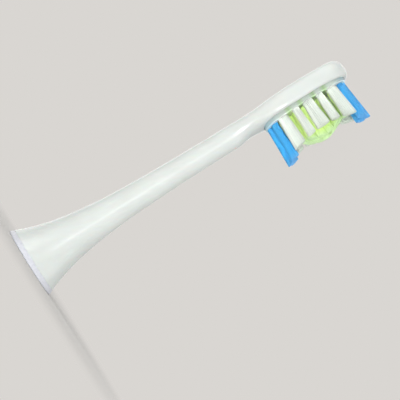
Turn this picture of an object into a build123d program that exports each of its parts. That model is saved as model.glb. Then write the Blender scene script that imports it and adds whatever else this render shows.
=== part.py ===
from build123d import *
import os
from math import atan, cos, degrees, exp, hypot, pi, radians, sin, sqrt

# Push-on brush head of a sonic toothbrush. Millimetres.
# +Z runs from the flat foot up the neck to the tip, the bristles point to -Y, X is the width of the head.
# The origin is the centre of the foot, on the surface that the head stands on.

# Flare and neck
overall_length = 81.5
base_diameter = 16.4
neck_diameter = 5.2
flare_length = 12.0  # height over which the flare falls to 1/e of its overhang
shoulder_length = 8.65  # from where the neck starts to widen, up to the plate

# Head
head_width = 11.5
back_depth = 2.5  # neck axis to the back of the head
rim_depth = 2.15  # neck axis to the rim face
back_squareness = 3.6  # exponent of the head's section behind the axis, 2 is an ellipse
rim_squareness = 8.0  # exponent of the head's section in front of the axis, nearly flat
tip_squareness = 2.3  # exponent of the head's outline round the tip
tip_rounding = 2.9  # height over which the back rounds off to the tip
rim_rounding = 1.0  # height over which the rim rounds off to the tip
tip_land = 0.02  # flat left at the very tip
oval_steps = 32  # points round an oval
full_width_run = 1.5  # straight run below the middle of the plate at the full width
scoop_start = 1.6  # start of the widening to the start of the scoop in the neck's front
scoop_length = 3.9  # run over which the neck's front drops to the rim face
rim_wall = 0.75  # rim left between the plate and the side of the head

# Tuft plate
plate_length = 20.8
plate_thickness = 2.0
plate_proud = 0.85  # how far the plate stands out of the rim
plate_edge = 0.25
plate_squareness = 2.6
tip_wall = 1.55  # plate to the tip of the head
plate_fit = 0.04

# Tufts
hole_radius = 0.75  # round holes of the middle field
end_hole_radius = 0.8
slim_hole_radius = 0.82
oval_hole_width = 0.7  # half sizes of the oval holes along the sides
oval_hole_length = 1.2
hole_margin = 0.16  # plate left outside the outermost holes
fused_flange = 0.12  # how far a fused tuft end grips outside its hole
fused_depth = 0.4
tuft_fit = 0.02
tuft_gap = 0.1  # least space between the tips of neighbouring tufts
most_spread = 0.45  # growth of a tuft's half size from root to tip where nothing hems it in
fan = 0.04  # how far the tips stand out from the plate's centre, as a share of their roots' distance
side_length = 6.5
side_rise = 1.8  # extra length that the trim of the side tufts would reach at the plate's ends
end_length = 9.2
end_fall = 0.3  # length lost at the outermost tufts of either end
end_slant = 0.25  # slope of the end tufts' tips, longer on the outside
centre_length = 8.45
centre_fall = 1.9  # length lost from the peak of the middle field to its ends
trim_tilt = 0.01  # length that side and middle tufts lose for each millimetre towards the tip
side_angles = (-42, -18.8, 0, 18.8, 42)  # places of the side tufts on the oval of outer tufts
end_angles = (-26, 0, 26)
middle_rows = 7  # green tufts in the middle column
outer_rows = 4  # green tufts in the columns beside it, half a row out of step
row_share = 4.5  # rows of the middle field from the centre to the outermost end tuft
column_share = 0.45  # columns beside the middle one, as a share of the oval's half width

# Foot ring, bell and drive socket
ring_height = 1.2
ring_wall = 1.6
ring_edge = 0.2
seam_bevel = 0.1
spigot_wall = 0.9
spigot_relief = 0.3  # the spigot stops short of the foot
bell_depth = 6.0
bell_floor_radius = 4.5
flange_height = 1.0
flange_overlap = 0.6  # seat of the socket's flange on the floor of the bell
socket_reach = 14.5  # floor of the bell to the blind end of the socket
socket_wall = 0.85  # shell left round the end of the socket
part_fit = 0.05
shaft_radius = 1.93
shaft_fit = 0.02
guide_length = 8.0
bore_bevel = 0.4
drive_radius = 1.7
drive_flat = 1.15
socket_end_wall = 1.0

# Shaft spring
leaf_width = 1.8
leaf_thickness = 0.25
leaf_margin = 0.5  # socket left between the guide and the spring's slot
leaf_bow = 0.45
slot_depth = 0.62

base_radius = base_diameter / 2
neck_radius = neck_diameter / 2
plate_face = -(rim_depth + plate_proud)
plate_back = plate_face + plate_thickness
plate_centre = overall_length - tip_wall - plate_length / 2
neck_length = plate_centre - plate_length / 2 - shoulder_length  # foot to where the neck starts to widen
scoop_end = neck_length + scoop_start + scoop_length
full_width_start = plate_centre - full_width_run
plate_half_width = head_width / 2 - rim_wall - plate_fit
bore_radius = shaft_radius + shaft_fit
socket_mouth = bell_depth - flange_height
socket_top = bell_depth + socket_reach
guide_end = socket_mouth + guide_length
drive_end = socket_top - socket_end_wall
spigot_radius = base_radius - ring_wall - part_fit
socket_foot_radius = bell_floor_radius - flange_overlap - part_fit


def flare_radius(z):
    # the flare falls off exponentially from the base radius towards the neck radius
    return neck_radius + (base_radius - neck_radius) * exp(-z / flare_length)


def ease(t):
    # smooth step from 0 to 1
    t = min(max(t, 0), 1)
    return t * t * (3 - 2 * t)


def oval_points(half_x, back, front, back_n, front_n):
    # closed oval of two half superellipses, evenly turned and started at the back so that it is symmetric
    points = []
    for i in range(oval_steps):
        turn = pi / 2 + 2 * pi * i / oval_steps
        across = round(cos(turn), 9)
        deep = round(sin(turn), 9)
        depth = back if deep > 0 else front
        n = back_n if deep > 0 else front_n
        share = (abs(across) ** n + abs(deep) ** n) ** (-1 / n)
        points.append((half_x * share * across, depth * share * deep))
    return points


def front_solid(sketch, back_y, front_y):
    # a sketch drawn with its own X across and its own Y up the head, as a solid between two depths
    flat = Plane(origin=(0, back_y, 0), x_dir=(1, 0, 0), z_dir=(0, -1, 0))
    return extrude(flat * sketch, back_y - front_y)


def turned(points):
    # a closed radius and height outline turned about the neck's axis
    return revolve(Plane.XZ * make_face(Polyline(*points, close=True)), Axis.Z)


def closing(z, rounding):
    # quarter round that closes a depth over the last stretch below the tip
    run = max(0, (z - overall_length + rounding) / (rounding + tip_land))
    return sqrt(1 - run**2)


def outer_section(z):
    # section at one height: round up the neck, then squarer with a flat rim in front, closing to the tip
    radius = flare_radius(z)
    widening = ease((z - neck_length) / (full_width_start - neck_length))
    shoulder = ease((z - neck_length) / shoulder_length)
    drop = ease((z - scoop_end + scoop_length) / scoop_length)
    squaring = ease((z - scoop_end) / (full_width_start - scoop_end))
    half_x = radius + (head_width / 2 - radius) * widening
    if z > plate_centre:
        outline_run = (z - plate_centre) / (overall_length + tip_land - plate_centre)
        half_x *= (1 - outline_run**tip_squareness) ** (1 / tip_squareness)
    back = (radius + (back_depth - radius) * shoulder) * closing(z, tip_rounding)
    front = (radius + (rim_depth - radius) * drop) * closing(z, rim_rounding)
    back_n = 2 + (back_squareness - 2) * squaring
    front_n = 2 + (rim_squareness - 2) * squaring
    points = [Vector(x, y, z) for x, y in oval_points(half_x, back, front, back_n, front_n)]
    steps = [i / oval_steps for i in range(oval_steps + 1)]
    return Wire(Edge.make_spline(points, periodic=True, parameters=steps))


def spaced(low, high, count, crowding=1.0):
    # heights from low to short of high, closer together near low where the crowding is over 1
    return [low + (high - low) * (i / count) ** crowding for i in range(count)]


def outer_form():
    # one loft from the foot of the flare to the tip, its sections closer where the form turns quickly
    tip_start = overall_length - tip_rounding
    tip_steps = 7
    heights = spaced(ring_height, neck_length, count=10, crowding=1.5)
    heights += spaced(neck_length, plate_centre, count=12)
    heights += spaced(plate_centre, tip_start, count=4)
    heights += [tip_start + tip_rounding * sin(pi / 2 * i / tip_steps) for i in range(tip_steps + 1)]
    return Solid.make_loft([outer_section(z) for z in heights], ruled=False)


def plate_outline(extra=0.0):
    # oval of the plate, drawn across and up the head
    half_length = plate_length / 2 + extra
    half_width = plate_half_width + extra
    points = oval_points(half_width, half_length, half_length, plate_squareness, plate_squareness)
    return make_face(Spline(*[(x, z + plate_centre) for x, z in points], periodic=True))


def neck_shell():
    # lofted outside and a spigot for the ring, less the bell, the socket's seat and the plate's pocket
    bell_radius = spigot_radius - spigot_wall
    bell = turned(
        [
            (0, 0),
            (bell_radius, 0),
            (bell_radius, ring_height),
            (bell_floor_radius, bell_depth),
            (0, bell_depth),
        ]
    )
    seat_foot = socket_foot_radius + part_fit
    seat_end = socket_end_radius() + part_fit
    seat_top = socket_top + part_fit
    seat = turned([(0, bell_depth), (seat_foot, bell_depth), (seat_end, seat_top), (0, seat_top)])
    spigot_height = ring_height - spigot_relief
    spigot = Pos(0, 0, spigot_relief + spigot_height / 2) * Cylinder(spigot_radius, spigot_height)
    pocket = front_solid(plate_outline(plate_fit), plate_back, plate_face)
    return outer_form() + spigot - [bell, seat, pocket]


def base_ring():
    # ring flush with the flare, with a fine bevel at the joint
    inner = base_radius - ring_wall
    ring = turned(
        [
            (inner, 0),
            (base_radius, 0),
            (flare_radius(ring_height) - seam_bevel, ring_height),
            (inner, ring_height),
        ]
    )
    foot_edge = ring.edges().filter_by(GeomType.CIRCLE).group_by(Axis.Z)[0].sort_by(SortBy.RADIUS)[-1]
    return fillet(foot_edge, ring_edge)


def socket_end_radius():
    # the socket's cone leaves the shell its wall at the blind end
    return flare_radius(socket_top) - socket_wall - part_fit


def drive_socket():
    # flanged cone with a round guide, a D-shaped drive and a slot for the spring
    flange_radius = bell_floor_radius - part_fit
    body = turned(
        [
            (0, socket_mouth),
            (flange_radius, socket_mouth),
            (flange_radius, bell_depth),
            (socket_foot_radius, bell_depth),
            (socket_end_radius(), socket_top),
            (0, socket_top),
        ]
    )
    body -= turned(
        [
            (0, socket_mouth),
            (bore_radius + bore_bevel, socket_mouth),
            (bore_radius, socket_mouth + bore_bevel),
            (bore_radius, guide_end),
            (0, guide_end),
        ]
    )
    round_drive = Pos(0, 0, guide_end) * Circle(drive_radius)
    cover = Rectangle(4 * drive_radius, 2 * drive_radius)
    beyond_flat = Pos(0, drive_flat + drive_radius, guide_end) * cover
    body -= extrude(round_drive - beyond_flat, drive_end - guide_end)
    slot = Box(leaf_width + 2 * part_fit, drive_radius + slot_depth, leaf_length() + 2 * part_fit)
    body -= Pos(0, -(drive_radius + slot_depth) / 2, (guide_end + drive_end) / 2) * slot
    return body


def leaf_length():
    # the spring lies between the margins of the drive
    return drive_end - guide_end - 2 * leaf_margin - 2 * part_fit


def shaft_spring():
    # bowed steel leaf, ends on the floor of its slot, middle pressing towards the shaft
    seat = -(drive_radius + slot_depth)
    face = seat + leaf_thickness
    middle = (guide_end + drive_end) / 2
    low = middle - leaf_length() / 2
    high = middle + leaf_length() / 2
    outer = ThreePointArc((seat, low), (seat + leaf_bow, middle), (seat, high))
    inner = ThreePointArc((face, high), (face + leaf_bow, middle), (face, low))
    ends = Line((seat, high), (face, high)) + Line((face, low), (seat, low))
    return extrude(Plane.YZ * make_face(outer + inner + ends), leaf_width / 2, both=True)


class Tuft:
    # one tuft: its place on the plate, the half sizes of its hole, its length and the slope of its trim
    def __init__(self, name, x, z, half_x, half_z, length, slope):
        self.name = name
        self.x = x
        self.z = z
        self.half_x = half_x
        self.half_z = half_z
        self.length = length
        self.slope = slope
        self.spread = most_spread

    def reach(self, other):
        # half size of the hole towards another tuft
        along = abs(other.z - self.z) / hypot(other.x - self.x, other.z - self.z)
        return self.half_x + (self.half_z - self.half_x) * along

    def place(self, depth, out=0.0):
        # middle of the tuft at one depth in front of the neck's axis, fanned out from the plate's centre
        return Vector(self.x * (1 + out), depth, plate_centre + self.z * (1 + out))

    def section(self, depth, extra=0.0, out=0.0):
        # round or slot-shaped section at one depth
        flat = Plane(origin=self.place(depth, out), x_dir=(0, 0, 1), z_dir=(0, -1, 0))
        width = 2 * (self.half_x + extra)
        if self.half_z == self.half_x:
            return flat * Circle(width / 2)
        return flat * SlotOverall(2 * (self.half_z + extra), width)


def tuft_layout():
    # an oval of outer tufts, blue at the ends and white along the sides, round a staggered green field
    ring_x = plate_half_width - hole_margin - fused_flange - oval_hole_width
    ring_z = plate_length / 2 - hole_margin - fused_flange - end_hole_radius
    tufts = []
    for side, sign in (("left", -1), ("right", 1)):
        for i, angle in enumerate(side_angles, 1):
            x = sign * ring_x * cos(radians(angle))
            z = ring_z * sin(radians(angle))
            length = side_length + side_rise * (z / ring_z) ** 2 - trim_tilt * z
            slope = 2 * side_rise * z / ring_z**2 - trim_tilt
            slim = i % 2 == 0
            half_x = slim_hole_radius if slim else oval_hole_width
            half_z = slim_hole_radius if slim else oval_hole_length
            tufts.append(Tuft(f"side_tuft_{side}_{i}", x, z, half_x, half_z, length, slope))
    for end, sign in (("neck", -1), ("tip", 1)):
        for i, angle in enumerate(end_angles, 1):
            x = ring_x * sin(radians(angle))
            z = sign * ring_z * cos(radians(angle))
            half = end_hole_radius
            length = end_length - end_fall * (angle / end_angles[-1]) ** 2
            tufts.append(Tuft(f"end_tuft_{end}_{i}", x, z, half, half, length, sign * end_slant))
    row = ring_z / row_share
    last_row = row * (middle_rows - 1) / 2
    places = []
    for column, rows in ((0, middle_rows), (-column_share, outer_rows), (column_share, outer_rows)):
        places += [(column * ring_x, row * (i - (rows - 1) / 2)) for i in range(rows)]
    for i, (x, z) in enumerate(places, 1):
        run = z / last_row
        length = centre_length - centre_fall * ease(hypot(x, z) / last_row) - trim_tilt * z
        slope = -6 * centre_fall * run * (1 - abs(run)) / last_row - trim_tilt
        tufts.append(Tuft(f"centre_tuft_{i:02d}", x, z, hole_radius, hole_radius, length, slope))
    for tuft in tufts:
        for other in tufts:
            if other is not tuft:
                room = hypot(other.x - tuft.x, other.z - tuft.z) * (1 + fan) - tuft_gap
                tuft.spread = min(tuft.spread, (room - tuft.reach(other) - other.reach(tuft)) / 2)
    return tufts


def hole(tuft, fit=0.0):
    # the countersunk hole of a tuft, or with a fit the fused tuft end that fills it
    flare = degrees(atan(fused_flange / fused_depth))
    grip = extrude(tuft.section(plate_back, fused_flange - fit), fused_depth, taper=flare)
    shank = extrude(tuft.section(plate_back - fused_depth, -fit), plate_thickness - fused_depth)
    return grip + shank


def tuft_plate(tufts):
    # oval carrier plate with softened front edge and one countersunk hole for each tuft
    plate = front_solid(plate_outline(), plate_back, plate_face)
    front_edge = plate.faces().sort_by(Axis.Y)[0].edges()
    return fillet(front_edge, plate_edge) - [hole(tuft) for tuft in tufts]


def tuft_solid(tuft):
    # fused end in the plate, and a bundle that fans out and spreads towards its slanted trim
    end = plate_face - tuft.length - abs(tuft.slope) * (tuft.half_z + tuft.spread)
    bundle = loft([tuft.section(plate_face, -tuft_fit), tuft.section(end, tuft.spread, fan)])
    tip = tuft.place(plate_face - tuft.length, fan)
    trim = Plane(origin=tip, x_dir=(1, 0, 0), z_dir=(0, -1, -tuft.slope))
    return hole(tuft, tuft_fit) + split(bundle, trim, Keep.BOTTOM)


tufts = tuft_layout()
parts = {
    "neck_shell": neck_shell(),
    "base_ring": base_ring(),
    "drive_socket": drive_socket(),
    "shaft_spring": shaft_spring(),
    "tuft_plate": tuft_plate(tufts),
}
for tuft in tufts:
    parts[tuft.name] = tuft_solid(tuft)

os.makedirs("parts", exist_ok=True)
for name, solid in parts.items():
    export_step(solid, f"parts/{name}.step")
    print(name, round(solid.volume, 2), "mm3")
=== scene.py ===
import bpy
import numpy as np
from mathutils import Matrix, Vector


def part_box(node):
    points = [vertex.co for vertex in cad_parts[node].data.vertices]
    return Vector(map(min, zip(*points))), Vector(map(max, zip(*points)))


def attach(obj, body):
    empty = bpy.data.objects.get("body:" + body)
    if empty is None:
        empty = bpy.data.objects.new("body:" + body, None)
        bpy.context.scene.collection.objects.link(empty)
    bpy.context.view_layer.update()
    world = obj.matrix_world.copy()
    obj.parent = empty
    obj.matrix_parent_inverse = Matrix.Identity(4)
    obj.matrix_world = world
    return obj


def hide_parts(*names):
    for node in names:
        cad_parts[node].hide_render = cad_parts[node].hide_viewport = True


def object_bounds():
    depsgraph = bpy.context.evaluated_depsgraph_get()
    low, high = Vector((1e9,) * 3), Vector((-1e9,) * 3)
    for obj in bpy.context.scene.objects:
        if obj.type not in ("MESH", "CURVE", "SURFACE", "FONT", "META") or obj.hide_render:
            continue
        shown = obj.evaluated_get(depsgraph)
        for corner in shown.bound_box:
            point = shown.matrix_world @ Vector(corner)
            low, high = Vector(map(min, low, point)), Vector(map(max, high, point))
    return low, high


# Push-on toothbrush head: white moulded neck, pale foot ring, tuft plate and 31 nylon tufts.
# Shapes are worked out in millimetres in the CAD frame: +Z up the neck, bristles to -Y.
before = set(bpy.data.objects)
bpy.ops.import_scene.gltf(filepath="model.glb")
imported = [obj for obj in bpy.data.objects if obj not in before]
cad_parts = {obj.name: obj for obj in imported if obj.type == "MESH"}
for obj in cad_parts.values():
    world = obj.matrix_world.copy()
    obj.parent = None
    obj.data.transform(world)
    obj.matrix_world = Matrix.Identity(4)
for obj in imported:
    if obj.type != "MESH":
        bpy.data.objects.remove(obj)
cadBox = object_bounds()
mm = 0.001
tiny = 1e-6  # keeps a divisor off zero
print("frame loaded,", len(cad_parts), "nodes")


# Sizes read from the frame

def nodeBox(name):
    low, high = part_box(name)
    return np.array(low) / mm, np.array(high) / mm


plateLow, plateHigh = nodeBox("tuft_plate")
plateCentre = (plateLow[2] + plateHigh[2]) / 2
plateHalfLength = (plateHigh[2] - plateLow[2]) / 2
plateHalfWidth = plateHigh[0]
length = cadBox[1][2] / mm
ringHeight = nodeBox("base_ring")[1][2]

tuftEnds = {
    "rootBand": 0.02,  # the root's points lie this near the plate's outer face (mm)
    "tipFacing": -0.5,  # the tip's faces look away from the plate, with a normal below this along Y
    "tipClear": 1.0,  # and lie further than this from the plate (mm)
}


def readTuft(node, s=tuftEnds):
    # root and tip loops of the CAD bundle: their middles, half sizes, and the straight line of the trim
    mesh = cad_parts[node].data
    co = np.empty(len(mesh.vertices) * 3)
    mesh.vertices.foreach_get("co", co)
    co = co.reshape(-1, 3) / mm
    corners = np.empty(len(mesh.polygons) * 3, int)
    mesh.polygons.foreach_get("vertices", corners)
    corners = co[corners].reshape(-1, 3, 3)
    facing = np.cross(corners[:, 1] - corners[:, 0], corners[:, 2] - corners[:, 0])
    facing = facing[:, 1] / np.linalg.norm(facing, axis=1)
    clear = corners[:, :, 1].max(1) < plateLow[1] - s["tipClear"]
    root = co[np.abs(co[:, 1] - plateLow[1]) < s["rootBand"]]
    tip = corners[(facing < s["tipFacing"]) & clear].reshape(-1, 3)
    slope, depth = np.polyfit(tip[:, 2], tip[:, 1], 1)
    ends = {}
    for key, loop in (("root", root), ("tip", tip)):
        low, high = loop[:, [0, 2]].min(0), loop[:, [0, 2]].max(0)
        ends[key] = (low + high) / 2
        ends[key + "Half"] = (high - low) / 2
    return {**ends, "slope": slope, "depth": depth, "lowest": co[:, 1].min()}


# Helpers for meshes and materials

def linearRgba(hexCode):
    # sRGB to linear: c / 12.92 for dark channels, ((c + 0.055) / 1.055) to the power 2.4 for the rest
    c = np.array([int(hexCode[i:i + 2], 16) for i in (1, 3, 5)]) / 255
    linear = np.where(c <= 0.04045, c / 12.92, ((c + 0.055) / 1.055) ** 2.4)
    return (*linear.tolist(), 1.0)


def perMetre(size):
    # texture scale that repeats a pattern about once in this many millimetres
    return 1 / (size * mm)


def addNode(tree, kind, inputs=None, settings=None):
    # An input is a value or a (node, output) pair. Settings are the node's own properties, and stops
    # fill a colour ramp with (place, hex colour) pairs.
    node = tree.nodes.new(kind)
    for key, value in (settings or {}).items():
        if key == "stops":
            ramp = node.color_ramp.elements
            while len(ramp) < len(value):
                ramp.new(0.5)  # moved to its own place below
            for stop, (place, hexCode) in zip(ramp, value):
                stop.position = place
                stop.color = linearRgba(hexCode)
        else:
            setattr(node, key, value)
    for key, value in (inputs or {}).items():
        if isinstance(value, tuple) and isinstance(value[0], bpy.types.Node):
            tree.links.new(value[0].outputs[value[1]], node.inputs[key])
        else:
            node.inputs[key].default_value = value
    return node


def newMaterial(name):
    material = bpy.data.materials.new(name)
    material.use_nodes = True
    material.node_tree.nodes.clear()
    return material, material.node_tree


def makePiece(name, points, faces, material, replaced, sharpAngle, attributes=None):
    # one mesh in its place in the frame, smooth apart from edges sharper than the angle
    mesh = bpy.data.meshes.new(name)
    mesh.from_pydata((points * mm).tolist(), [], faces)
    mesh.polygons.foreach_set("use_smooth", np.ones(len(mesh.polygons), bool))
    mesh.set_sharp_from_angle(angle=np.radians(sharpAngle))
    for key, values in (attributes or {}).items():
        mesh.attributes.new(key, "FLOAT", "POINT").data.foreach_set("value", values.astype(np.float32))
    mesh.materials.append(material)
    piece = bpy.data.objects.new(name, mesh)
    bpy.context.scene.collection.objects.link(piece)
    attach(piece, "root")
    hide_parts(*replaced)


def loopFaces(loops, columns, wrap=False):
    # quads between closed loops that follow each other, with the last joined to the first where they wrap
    i, j = np.meshgrid(np.arange(loops if wrap else loops - 1), np.arange(columns), indexing="ij")
    up, right = (i + 1) % loops, (j + 1) % columns
    quads = np.stack([i * columns + j, i * columns + right, up * columns + right, up * columns + j], -1)
    return quads.reshape(-1, 4).tolist()


def ease(t):
    # smooth step from 0 to 1: 3 t^2 - 2 t^3
    t = np.clip(t, 0, 1)
    return t * t * (3 - 2 * t)


# Materials. In each look, lengths are in millimetres, and tints go from dark to light over a span of
# the pattern's values.

def polishedAbs():
    # white ABS off a polished tool: clean gloss, a breath of colour drift from the melt flow and a faint
    # orange peel
    look = {
        "tints": ("#E6ECE8", "#EBF1EE"), "span": (0.35, 0.65), "flow": 9.0,
        "peel": 2.5, "peelDepth": 0.02, "peelStrength": 0.03,
        "roughness": 0.2, "ior": 1.54, "glow": 0.08, "glowReach": 0.6,
    }
    material, tree = newMaterial("white_abs_polished")
    place = addNode(tree, "ShaderNodeTexCoord")
    flow = addNode(tree, "ShaderNodeTexNoise",
                   {"Vector": (place, "Object"), "Scale": perMetre(look["flow"]), "Detail": 2.0})
    tint = addNode(tree, "ShaderNodeValToRGB", {"Fac": (flow, "Fac")},
                   {"stops": list(zip(look["span"], look["tints"]))})
    peel = addNode(tree, "ShaderNodeTexNoise",
                   {"Vector": (place, "Object"), "Scale": perMetre(look["peel"]), "Detail": 1.0})
    wave = addNode(tree, "ShaderNodeBump",
                   {"Height": (peel, "Fac"), "Strength": look["peelStrength"],
                    "Distance": look["peelDepth"] * mm})
    shader = addNode(tree, "ShaderNodeBsdfPrincipled",
                     {"Base Color": (tint, "Color"), "Roughness": look["roughness"],
                      "Normal": (wave, "Normal"), "IOR": look["ior"],
                      "Subsurface Weight": look["glow"], "Subsurface Scale": look["glowReach"] * mm})
    addNode(tree, "ShaderNodeOutputMaterial", {"Surface": (shader, "BSDF")})
    return material


def satinRing():
    # pale lavender-white moulded polypropylene ring, satin from a finely sparked tool, whose grain is drawn
    # coarser than it is so that it shows
    look = {
        "tints": ("#E0E3EC", "#E9EBF2"), "span": (0.3, 0.7),
        "grain": 0.35, "grainDepth": 0.01, "grainStrength": 0.15, "roughness": 0.38, "ior": 1.49,
    }
    material, tree = newMaterial("pale_pp_satin")
    place = addNode(tree, "ShaderNodeTexCoord")
    grain = addNode(tree, "ShaderNodeTexNoise",
                    {"Vector": (place, "Object"), "Scale": perMetre(look["grain"]), "Detail": 2.0})
    tint = addNode(tree, "ShaderNodeValToRGB", {"Fac": (grain, "Fac")},
                   {"stops": list(zip(look["span"], look["tints"]))})
    wave = addNode(tree, "ShaderNodeBump",
                   {"Height": (grain, "Fac"), "Strength": look["grainStrength"],
                    "Distance": look["grainDepth"] * mm})
    shader = addNode(tree, "ShaderNodeBsdfPrincipled",
                     {"Base Color": (tint, "Color"), "Roughness": look["roughness"],
                      "IOR": look["ior"], "Normal": (wave, "Normal")})
    addNode(tree, "ShaderNodeOutputMaterial", {"Surface": (shader, "BSDF")})
    return material


def clearPlate():
    # clear copolyester, drawn as a milky solid: its colour is painted to follow the tufts sunk in it as
    # they show through it along the head, white at each side tuft, green in the gaps and blue at both ends,
    # all blurred by the light inside it; its outer face is painted brighter, a painted light in the shade
    # between the tufts
    look = {
        "white": "#D0DCD3", "green": "#AECE98", "blue": "#B4D2DC",
        "core": 0.6,  # share of a side tuft's root that is plain white
        "haze": 2.2, "drift": 0.02,  # the haze shifts the colours by up to this share of the length
        "paintedFaceLight": 1.6, "skin": 0.3,  # painted light on the outer face, which lies in shade between the tufts: how much brighter it is drawn, and the depth that it fades over
        "roughness": 0.15, "ior": 1.57, "glowReach": 2.5,
    }
    low, high = plateLow[2], plateHigh[2]
    sideTufts = [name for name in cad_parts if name.startswith("side_tuft_left_")]
    roots = sorted((readTuft(name) for name in sideTufts), key=lambda tuft: tuft["root"][1])
    middles = np.array([tuft["root"][1] for tuft in roots])
    cores = np.array([tuft["rootHalf"][1] for tuft in roots]) * look["core"]
    places = [(low, "blue"), (high, "blue")]
    places += [(z, "white") for z in np.concatenate([middles - cores, middles + cores])]
    places += [(z, "green") for z in ((middles + cores)[:-1] + (middles - cores)[1:]) / 2]
    stops = [((z - low) / (high - low), look[tone]) for z, tone in sorted(places)]
    material, tree = newMaterial("clear_copolyester")
    place = addNode(tree, "ShaderNodeTexCoord")
    along = addNode(tree, "ShaderNodeSeparateXYZ", {"Vector": (place, "Object")})
    share = addNode(tree, "ShaderNodeMapRange",
                    {"Value": (along, "Z"), "From Min": low * mm, "From Max": high * mm})
    haze = addNode(tree, "ShaderNodeTexNoise",
                   {"Vector": (place, "Object"), "Scale": perMetre(look["haze"]), "Detail": 2.0})
    drift = addNode(tree, "ShaderNodeMapRange",
                    {"Value": (haze, "Fac"), "To Min": -look["drift"], "To Max": look["drift"]})
    mixed = addNode(tree, "ShaderNodeMath", {0: (share, "Result"), 1: (drift, "Result")},
                    {"operation": "ADD"})
    tint = addNode(tree, "ShaderNodeValToRGB", {"Fac": (mixed, "Value")}, {"stops": stops})
    # painted light: the outer face is drawn brighter, fading in over the skin's depth
    paintedFaceLight = addNode(tree, "ShaderNodeMapRange",
                   {"Value": (along, "Y"), "From Min": plateLow[1] * mm,
                    "From Max": (plateLow[1] + look["skin"]) * mm, "To Min": look["paintedFaceLight"], "To Max": 1.0})
    lit = addNode(tree, "ShaderNodeHueSaturation", {"Color": (tint, "Color"), "Value": (paintedFaceLight, "Result")})
    shader = addNode(tree, "ShaderNodeBsdfPrincipled",
                     {"Base Color": (lit, "Color"), "Roughness": look["roughness"], "IOR": look["ior"],
                      "Subsurface Weight": 1.0, "Subsurface Radius": (1.0, 1.0, 1.0),
                      "Subsurface Scale": look["glowReach"] * mm},
                     {"subsurface_method": "BURLEY"})
    addNode(tree, "ShaderNodeOutputMaterial", {"Surface": (shader, "BSDF")})
    return material


def nylonFilament(name, root, middle, tip):
    # drawn nylon: glossy filaments that pass light on to each other, so a bundle glows softly as one, with
    # a slightly different tone at the rounded ends and no two filaments quite the same
    look = {
        "places": (0.0, 0.35, 0.85, 1.0),  # along the filament: root, middle from and to, tip
        "drift": (0.94, 1.04),  # darkest and brightest filament
        "roughness": 0.25, "ior": 1.53, "glowReach": 0.6,
    }
    material, tree = newMaterial(name)
    along = addNode(tree, "ShaderNodeAttribute", None, {"attribute_name": "along"})
    strand = addNode(tree, "ShaderNodeAttribute", None, {"attribute_name": "strand"})
    tint = addNode(tree, "ShaderNodeValToRGB", {"Fac": (along, "Fac")},
                   {"stops": list(zip(look["places"], (root, middle, middle, tip)))})
    darkest, brightest = look["drift"]
    drift = addNode(tree, "ShaderNodeMapRange",
                    {"Value": (strand, "Fac"), "To Min": darkest, "To Max": brightest})
    varied = addNode(tree, "ShaderNodeHueSaturation",
                     {"Color": (tint, "Color"), "Value": (drift, "Result")})
    shader = addNode(tree, "ShaderNodeBsdfPrincipled",
                     {"Base Color": (varied, "Color"), "Roughness": look["roughness"], "IOR": look["ior"],
                      "Subsurface Weight": 1.0, "Subsurface Radius": (1.0, 1.0, 1.0),
                      "Subsurface Scale": look["glowReach"] * mm},
                     {"subsurface_method": "BURLEY"})
    addNode(tree, "ShaderNodeOutputMaterial", {"Surface": (shader, "BSDF")})
    return material


def filledNylon():
    # grey glass-filled nylon of the socket: matt, with the short fibres showing as a fine fleck, drawn
    # coarser than it is so that it shows
    look = {
        "tints": ("#8E9296", "#A9ADB0"), "span": (0.3, 0.7), "fleck": 0.25, "roughness": 0.55, "ior": 1.53,
    }
    material, tree = newMaterial("grey_filled_nylon")
    place = addNode(tree, "ShaderNodeTexCoord")
    fleck = addNode(tree, "ShaderNodeTexNoise",
                    {"Vector": (place, "Object"), "Scale": perMetre(look["fleck"]), "Detail": 3.0})
    tint = addNode(tree, "ShaderNodeValToRGB", {"Fac": (fleck, "Fac")},
                   {"stops": list(zip(look["span"], look["tints"]))})
    shader = addNode(tree, "ShaderNodeBsdfPrincipled",
                     {"Base Color": (tint, "Color"), "Roughness": look["roughness"], "IOR": look["ior"]})
    addNode(tree, "ShaderNodeOutputMaterial", {"Surface": (shader, "BSDF")})
    return material


def rolledSteel():
    # cold-rolled stainless leaf: metal with fine rolling lines that run along it, drawn coarser than they
    # are so that they show
    look = {
        "tints": ("#AEB1B3", "#C9CBCC"), "span": (0.3, 0.7), "line": 0.12, "run": 4.0,
        "roughness": (0.22, 0.4),  # smoothest and roughest line
    }
    material, tree = newMaterial("stainless_rolled")
    place = addNode(tree, "ShaderNodeTexCoord")
    stretch = addNode(tree, "ShaderNodeMapping",
                      {"Vector": (place, "Object"),
                       "Scale": (perMetre(look["line"]), perMetre(look["line"]), perMetre(look["run"]))})
    lines = addNode(tree, "ShaderNodeTexNoise",
                    {"Vector": (stretch, "Vector"), "Scale": 1.0, "Detail": 2.0})
    tint = addNode(tree, "ShaderNodeValToRGB", {"Fac": (lines, "Fac")},
                   {"stops": list(zip(look["span"], look["tints"]))})
    smoothest, roughest = look["roughness"]
    rough = addNode(tree, "ShaderNodeMapRange",
                    {"Value": (lines, "Fac"), "To Min": smoothest, "To Max": roughest})
    shader = addNode(tree, "ShaderNodeBsdfPrincipled",
                     {"Base Color": (tint, "Color"), "Metallic": 1.0, "Roughness": (rough, "Result")})
    addNode(tree, "ShaderNodeOutputMaterial", {"Surface": (shader, "BSDF")})
    return material


# Neck shell

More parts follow.
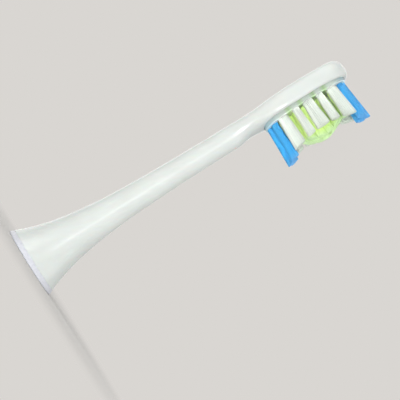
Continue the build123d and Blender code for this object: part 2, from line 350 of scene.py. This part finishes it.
neckShell = {
    "baseRadius": 8.2, "neckRadius": 2.6, "flareLength": 12.0,  # flare
    "headWidth": 11.5, "backDepth": 2.5, "rimDepth": 2.15,  # head
    "backSquareness": 3.6, "rimSquareness": 8.0, "tipSquareness": 2.3,  # powers of its curves, 2 is round
    "tipRounding": 2.9, "rimRounding": 1.0, "tipLand": 0.02,  # how back and rim close at the tip
    "shoulder": 8.65, "fullWidthRun": 1.5, "scoopStart": 1.6, "scoopLength": 3.9,  # neck into head
    "plateSquareness": 2.6, "plateGap": 0.03, "lip": 0.1,  # pocket for the plate and its rolled lip
    "ringWall": 1.65, "spigotWall": 0.9, "spigotRelief": 0.3,  # spigot inside the ring
    "bellDepth": 6.0, "bellTopRadius": 4.5,  # hollow bell
    "seatFootRadius": 3.9, "seatTop": 20.55, "socketWall": 0.85,  # seat of the socket
    "flareLoops": 50, "risePower": 1.4, "headLoops": 190, "tipLoops": 24,  # grid of the skin
    "endZone": 0.4, "endLoops": 17, "columns": 288, "turnSamples": 1441, "sharpAngle": 35,
}
neckEnd = plateCentre - plateHalfLength - neckShell["shoulder"]


def flareRadius(z, s=neckShell):
    # neck radius plus an overhang that dies away exponentially up the flare
    return s["neckRadius"] + (s["baseRadius"] - s["neckRadius"]) * np.exp(-z / s["flareLength"])


def closing(z, rounding, s=neckShell):
    # quarter round sqrt(1 - t^2) that closes a depth over the last stretch below the tip
    t = np.clip((z - length + rounding) / (rounding + s["tipLand"]), 0, 1)
    return np.sqrt(1 - t ** 2)


def shellLoops(z, s=neckShell):
    # A section at height z is two half superellipses, each with its own depth and power, back and front.
    # Points are shared out along it half by length and half by turning, so the edges get their share.
    z = z[:, None]
    scoopEnd = neckEnd + s["scoopStart"] + s["scoopLength"]
    fullWidth = plateCentre - s["fullWidthRun"]
    radius = flareRadius(z)
    widening = ease((z - neckEnd) / (fullWidth - neckEnd))
    shoulder = ease((z - neckEnd) / s["shoulder"])
    drop = ease((z - scoopEnd + s["scoopLength"]) / s["scoopLength"])
    squaring = ease((z - scoopEnd) / (fullWidth - scoopEnd))
    outline = np.clip((z - plateCentre) / (length + s["tipLand"] - plateCentre), 0, 1)
    halfX = radius + (s["headWidth"] / 2 - radius) * widening
    halfX = halfX * (1 - outline ** s["tipSquareness"]) ** (1 / s["tipSquareness"])
    back = (radius + (s["backDepth"] - radius) * shoulder) * closing(z, s["tipRounding"])
    front = (radius + (s["rimDepth"] - radius) * drop) * closing(z, s["rimRounding"])
    turn = np.linspace(np.pi / 2, 2.5 * np.pi, s["turnSamples"])[None]
    across, deep = np.cos(turn), np.sin(turn)
    power = 2 + (np.where(deep > 0, s["backSquareness"], s["rimSquareness"]) - 2) * squaring
    share = (np.abs(across) ** power + np.abs(deep) ** power) ** (-1 / power)
    x = halfX * share * across
    y = np.where(deep > 0, back, front) * share * deep
    dx, dy = np.diff(x, axis=1), np.diff(y, axis=1)
    step = np.hypot(dx, dy)
    heading = np.unwrap(np.arctan2(dy, dx), axis=1)
    bend = np.abs(np.diff(heading, axis=1, append=heading[:, :1] + 2 * np.pi))
    spacing = step / step.sum(1, keepdims=True) + bend / bend.sum(1, keepdims=True)
    place = np.concatenate([np.zeros_like(z), np.cumsum(spacing, 1) / 2], 1)
    even = np.arange(s["columns"]) / s["columns"]
    x = np.array([np.interp(even, p, row) for p, row in zip(place, x)])
    y = np.array([np.interp(even, p, row) for p, row in zip(place, y)])
    return x, y, np.broadcast_to(z, x.shape)


def buildNeckShell(material, s=neckShell):
    # one closed skin: from the socket's seat down through the bell and round the spigot's foot, then up the
    # outside from the ring to the tip
    rise = np.arange(s["flareLoops"]) / s["flareLoops"]
    tip = np.sin(np.pi / 2 * np.arange(s["tipLoops"] + 1) / s["tipLoops"])
    plateEnds = plateCentre + plateHalfLength * np.array([[-1], [1]])
    z = np.sort(np.concatenate([
        ringHeight + (neckEnd - ringHeight) * rise ** s["risePower"],
        np.linspace(neckEnd, length - s["tipRounding"], s["headLoops"], endpoint=False),
        length - s["tipRounding"] * (1 - tip),
        (plateEnds + np.linspace(-s["endZone"], s["endZone"], s["endLoops"])).ravel(),
    ]))
    x, y, z = shellLoops(z)
    # The pocket under the plate: r is the power sum of x and z as shares of the plate's half sizes, and
    # (1 - r) over the slope of r is about the distance in from its edge. The rim rolls in over the lip.
    u, v = np.abs(x) / plateHalfWidth, np.abs(z - plateCentre) / plateHalfLength
    p = s["plateSquareness"]
    r = np.maximum((u ** p + v ** p) ** (1 / p), tiny)
    slope = np.hypot((u / r) ** (p - 1) / plateHalfWidth, (v / r) ** (p - 1) / plateHalfLength)
    inward = (1 - r) / slope
    sunk = np.where(y < 0, np.clip((inward + s["plateGap"] + s["lip"]) / s["lip"], 0, 1) ** 2, 0)
    y = y + (plateHigh[1] - y) * sunk
    outside = np.stack([x, y, z], -1)
    spigot = s["baseRadius"] - s["ringWall"]
    bell = spigot - s["spigotWall"]
    profile = np.array([
        (flareRadius(s["seatTop"]) - s["socketWall"], s["seatTop"]), (s["seatFootRadius"], s["bellDepth"]),
        (s["bellTopRadius"], s["bellDepth"]), (bell, ringHeight), (bell, s["spigotRelief"]),
        (spigot, s["spigotRelief"]), (spigot, ringHeight),
    ])
    angle = np.pi / 2 + 2 * np.pi * np.arange(s["columns"]) / s["columns"]
    inner = np.stack([profile[:, :1] * np.cos(angle), profile[:, :1] * np.sin(angle),
                      np.broadcast_to(profile[:, 1:], (len(profile), s["columns"]))], -1)
    loops = np.concatenate([inner, outside])
    count, columns = loops.shape[:2]
    points = np.concatenate([loops.reshape(-1, 3), loops[[0, -1]].mean(1)])
    j = np.arange(columns)
    right = (j + 1) % columns
    first = np.stack([np.full(columns, count * columns), right, j], -1)
    last = (count - 1) * columns + np.stack([j, right, np.full(columns, columns + 1)], -1)
    faces = loopFaces(count, columns) + first.tolist() + last.tolist()
    makePiece("shell_neck_and_head", points, faces, material, ["neck_shell"],
              s["sharpAngle"])


# Foot ring

footRing = {
    "innerRadius": 6.6, "seamStep": 0.1, "footRounding": 0.3, "edge": 0.08,
    "arcPoints": 6, "columns": 160, "sharpAngle": 35,
}


def roundedCorners(corners, radii, arcPoints):
    # Each corner of a closed outline becomes a curve. It leaves the sides at r / tan(half the corner's
    # angle) and is the quadratic (1 - t)^2 start + 2 t (1 - t) corner + t^2 end.
    corners = np.array(corners, float)
    before, after = np.roll(corners, 1, 0) - corners, np.roll(corners, -1, 0) - corners
    before /= np.linalg.norm(before, axis=1, keepdims=True)
    after /= np.linalg.norm(after, axis=1, keepdims=True)
    half = np.arccos(np.clip((before * after).sum(1), -1, 1)) / 2
    reach = (np.array(radii) / np.tan(half))[:, None]
    t = np.linspace(0, 1, arcPoints)[None, :, None]
    start, end = (corners + before * reach)[:, None], (corners + after * reach)[:, None]
    arcs = (1 - t) ** 2 * start + 2 * t * (1 - t) * corners[:, None] + t ** 2 * end
    return arcs.reshape(-1, 2)


def buildFootRing(material, s=footRing):
    # the ring's rounded outline turned about the neck's axis, from the foot of the flare up to the seam
    foot, seam = flareRadius(0), flareRadius(ringHeight) - s["seamStep"]
    corners = [(s["innerRadius"], 0), (foot, 0), (seam, ringHeight), (s["innerRadius"], ringHeight)]
    radii = [s["edge"], s["footRounding"], s["edge"], s["edge"]]
    outline = roundedCorners(corners, radii, s["arcPoints"])
    angle = 2 * np.pi * np.arange(s["columns"]) / s["columns"]
    loops = np.stack([outline[:, :1] * np.cos(angle), outline[:, :1] * np.sin(angle),
                      np.broadcast_to(outline[:, 1:], (len(outline), s["columns"]))], -1)
    faces = loopFaces(len(outline), s["columns"], wrap=True)
    makePiece("ring_foot", loops.reshape(-1, 3), faces, material, ["base_ring"],
              s["sharpAngle"])


# Tufts

filament = {
    "diameter": 0.2, "sides": 6, "sunk": 1.7,  # sunk into the plate, out of sight
    "rootPitch": 0.105, "rootScatter": 0.006,
    "rootInset": 1 / 3, "tipInset": 1 / 2,  # from the bundle's edge to the outermost axis, in diameters
    "tipScatter": 0.005, "trimScatter": 0.02,
    "stations": np.array([0, 0.3, 0.62, 0.93, 0.985, 1.0]),  # along the filament, close at the rounded end
    "girth": np.array([1, 1, 1, 1, 0.82, 0.45]),
    "sharpAngle": 60,
}


def packedRoots(half, rng, s=filament):
    # Sunflower pattern: root k lies at the share sqrt((k + 0.5) / count) of its ray, and each ray turns by
    # the golden angle round an ellipse as wide and tall as the slot. A ray ends at the slot's edge, which
    # has two straight sides and two half rounds.
    wide, tall = half - s["diameter"] * s["rootInset"]
    count = int(np.pi * wide * tall / s["rootPitch"] ** 2)
    k = np.arange(count)
    radius = np.sqrt((k + 0.5) / count)
    angle = k * np.pi * (3 - np.sqrt(5)) + rng.uniform(0, 2 * np.pi)
    x, z = wide * np.cos(angle), tall * np.sin(angle)
    ray = np.hypot(x, z)
    ux, uz = np.abs(x) / ray, np.abs(z) / ray
    straight = max(tall - wide, 0)
    side = wide / np.maximum(ux, tiny)
    end = uz * straight + np.sqrt(np.maximum(wide ** 2 - (straight * ux) ** 2, 0))
    edge = np.where(side * uz <= straight, side, end)
    spots = np.stack([x, z], -1) * (radius * edge / ray)[:, None]
    return spots + rng.normal(0, s["rootScatter"], spots.shape)


def buildTuft(node, look, seed, s=filament):
    # A filament at station t stands at root + (tip - root) * t ^ splay across, and t of the way down to the
    # trim. A ring of points round each station makes the skin, its girth falling off over the rounded end.
    rng = np.random.default_rng(seed)
    tuft = readTuft(node)
    spots = packedRoots(tuft["rootHalf"], rng)
    count = len(spots)
    rootReach = tuft["rootHalf"] - s["diameter"] * s["rootInset"]
    tipReach = tuft["tipHalf"] + look["bushy"] - s["diameter"] * s["tipInset"]
    start = tuft["root"] + spots
    end = tuft["tip"] + spots * (tipReach / rootReach) + rng.normal(0, s["tipScatter"], spots.shape)
    trim = tuft["depth"] + tuft["slope"] * end[:, 1] + np.abs(rng.normal(0, s["trimScatter"], count))
    trim = np.maximum(trim, tuft["lowest"])
    t = s["stations"][None, :]
    across = start[:, None] + (end - start)[:, None] * t[..., None] ** look["splay"]
    down = (plateLow[1] + s["sunk"]) * (1 - t) + trim[:, None] * t
    phase = rng.uniform(0, np.pi, count)[:, None, None]
    angle = phase + 2 * np.pi * np.arange(s["sides"])[None, None] / s["sides"]
    girth = s["diameter"] / 2 * s["girth"][None, :, None]
    x = across[..., 0:1] + girth * np.cos(angle)
    z = across[..., 1:2] + girth * np.sin(angle)
    y = np.broadcast_to(down[..., None], x.shape)
    points = np.stack([x, y, z], -1).reshape(-1, 3)
    stations, sides = len(s["stations"]), s["sides"]
    one = np.array(loopFaces(stations, sides))
    first = np.arange(count)[:, None, None] * stations * sides
    quads = (first + one[None]).reshape(-1, 4)
    ring = np.arange(sides)[None]
    rootCaps = first[:, 0] + ring[:, ::-1]
    tipCaps = first[:, 0] + (stations - 1) * sides + ring
    attributes = {
        "along": np.broadcast_to(t[..., None], x.shape).reshape(-1),
        "strand": np.broadcast_to(rng.uniform(0, 1, count)[:, None, None], x.shape).reshape(-1),
    }
    faces = quads.tolist() + rootCaps.tolist() + tipCaps.tolist()
    makePiece("bristles_" + node, points, faces, look["material"], [node], s["sharpAngle"],
              attributes)
    return count


# The pieces

buildNeckShell(polishedAbs())
buildFootRing(satinRing())
print("shell and ring built")

# these show as their solids do
finishes = {"tuft_plate": clearPlate(), "drive_socket": filledNylon(), "shaft_spring": rolledSteel()}
for node, finish in finishes.items():
    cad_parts[node].data.materials.clear()
    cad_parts[node].data.materials.append(finish)
print("plate, socket and spring finished")

# bushy is how far a bundle spreads past its CAD tip (mm), splay the power of its spread on the way there,
# where under 1 is early, and the colours go from root to tip
bundles = {
    "end": {"slot": "bristle_blue", "bushy": 0.14, "splay": 1.2,
            "material": nylonFilament("nylon_blue", "#52A9DF", "#3FA4DC", "#54A6D9")},
    "side": {"slot": "bristle_white", "bushy": 0.1, "splay": 1.2,
             "material": nylonFilament("nylon_white", "#CED5CE", "#D0D7D0", "#C8CFC7")},
    "centre": {"slot": "bristle_green", "bushy": 0.12, "splay": 0.6,
               "material": nylonFilament("nylon_green", "#DCFA98", "#DEF99C", "#CBE3B6")},
}
tufts = sorted(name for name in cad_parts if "_tuft_" in name)
total = 0
for seed, node in enumerate(tufts, 1):
    total += buildTuft(node, bundles[node.split("_")[0]], seed)
print(len(tufts), "tufts built,", total, "filaments")


# Stage, lamps and camera

backdrop = {
    "colour": "#D9D6D2", "floorColour": "#EFECE8", "lightColour": "#FFFFFF", "lightStrength": 0.2,
    "near": 12.0, "far": 60.0,  # where the floor starts to fade into the backdrop, and where it ends (mm)
    "halfSize": 4000.0, "floorDrop": 0.02,
}


def seenRays(tree):
    # 1 for the rays that show the plain backdrop: from the camera, mirrored, or through something clear
    rays = addNode(tree, "ShaderNodeLightPath")
    direct = addNode(tree, "ShaderNodeMath", {0: (rays, "Is Camera Ray"), 1: (rays, "Is Glossy Ray")},
                     {"operation": "MAXIMUM"})
    return addNode(tree, "ShaderNodeMath", {0: (direct, "Value"), 1: (rays, "Is Transmission Ray")},
                   {"operation": "MAXIMUM"})


def paleFloor(s=backdrop):
    # matt pale floor near the object, which keeps its shadow, running out into the plain backdrop colour
    material, tree = newMaterial("matt_floor")
    place = addNode(tree, "ShaderNodeTexCoord")
    away = addNode(tree, "ShaderNodeVectorMath", {0: (place, "Object")}, {"operation": "LENGTH"})
    fade = addNode(tree, "ShaderNodeMapRange",
                   {"Value": (away, "Value"), "From Min": s["near"] * mm, "From Max": s["far"] * mm},
                   {"interpolation_type": "SMOOTHSTEP"})
    amount = addNode(tree, "ShaderNodeMath", {0: (fade, "Result"), 1: (seenRays(tree), "Value")},
                     {"operation": "MULTIPLY"})
    matt = addNode(tree, "ShaderNodeBsdfDiffuse", {"Color": linearRgba(s["floorColour"])})
    plain = addNode(tree, "ShaderNodeEmission", {"Color": linearRgba(s["colour"]), "Strength": 1.0})
    mix = addNode(tree, "ShaderNodeMixShader",
                  {"Fac": (amount, "Value"), 1: (matt, "BSDF"), 2: (plain, "Emission")})
    addNode(tree, "ShaderNodeOutputMaterial", {"Surface": (mix, "Shader")})
    half, height = s["halfSize"] * mm, -s["floorDrop"] * mm
    corners = [(-half, -half, height), (half, -half, height), (half, half, height), (-half, half, height)]
    mesh = bpy.data.meshes.new("floor")
    mesh.from_pydata(corners, [], [(0, 1, 2, 3)])
    mesh.materials.append(material)
    floor = bpy.data.objects.new("floor", mesh)
    bpy.context.scene.collection.objects.link(floor)


def paleWorld(s=backdrop):
    # even soft light all round, seen by the camera and in reflections as the plain backdrop
    world = bpy.data.worlds.new("studio")
    world.use_nodes = True
    tree = world.node_tree
    tree.nodes.clear()
    light = addNode(tree, "ShaderNodeBackground",
                    {"Color": linearRgba(s["lightColour"]), "Strength": s["lightStrength"]})
    plain = addNode(tree, "ShaderNodeBackground", {"Color": linearRgba(s["colour"]), "Strength": 1.0})
    mix = addNode(tree, "ShaderNodeMixShader",
                  {"Fac": (seenRays(tree), "Value"), 1: (light, "Background"), 2: (plain, "Background")})
    addNode(tree, "ShaderNodeOutputWorld", {"Surface": (mix, "Shader")})
    bpy.context.scene.world = world


# Each lamp's direction from the middle of the neck, distance, width and height (mm) and power (W).
# Front draws the streak up the neck, fill looks into the gaps from beside the camera, top and rear are
# broad and soft, face looks at the bristles, and far lights the side that the camera doesn't see.
softboxes = {
    "front": {"from": (-0.94, -0.28, 0.06), "distance": 620, "size": (70, 560), "power": 0.62},
    "fill": {"from": (-0.96, -0.25, -0.11), "distance": 280, "size": (200, 16), "power": 0.355},
    "top": {"from": (-0.5, 0.55, 0.67), "distance": 600, "size": (420, 420), "power": 1.05},
    "rear": {"from": (0.72, 0.42, 0.55), "distance": 650, "size": (900, 900), "power": 1.8},
    "face": {"from": (-0.05, -0.82, 0.57), "distance": 650, "size": (420, 420), "power": 0.52},
    "far": {"from": (0.72, -0.34, 0.6), "distance": 650, "size": (300, 300), "power": 0.5},
}
middle = Vector((0, 0, length / 2))


def addSoftbox(name, s):
    lamp = bpy.data.lights.new(name, "AREA")
    lamp.shape = "RECTANGLE"
    lamp.size, lamp.size_y = (side * mm for side in s["size"])
    lamp.energy = s["power"]
    holder = bpy.data.objects.new(name, lamp)
    bpy.context.scene.collection.objects.link(holder)
    direction = Vector(s["from"]).normalized()
    holder.location = (middle + direction * s["distance"]) * mm
    holder.rotation_euler = direction.to_track_quat("Z", "Y").to_euler()


# where the camera stands (mm), the way it looks, the way down its picture runs, lens and sensor (mm)
photoView = {
    "place": (-264.324, -65.747, 10.581), "look": (0.97191, 0.2118, 0.10266),
    "down": (0.23373, -0.81731, -0.52666), "lens": 112.5, "sensor": 36,
}


def addCamera(s=photoView):
    # columns of the camera's matrix: right, up, and back towards the viewer
    look = Vector(s["look"]).normalized()
    right = look.cross(-Vector(s["down"])).normalized()
    up = right.cross(look)
    lens = bpy.data.cameras.new("photo_view")
    lens.lens = s["lens"]
    lens.sensor_width = s["sensor"]
    camera = bpy.data.objects.new("photo_view", lens)
    bpy.context.scene.collection.objects.link(camera)
    camera.matrix_world = Matrix((right, up, -look)).transposed().to_4x4()
    camera.location = Vector(s["place"]) * mm
    bpy.context.scene.camera = camera


paleFloor()
paleWorld()
for name, softbox in softboxes.items():
    addSoftbox(name, softbox)
addCamera()
bpy.context.scene.view_settings.view_transform = "Standard"
print("stage, lamps and camera set")
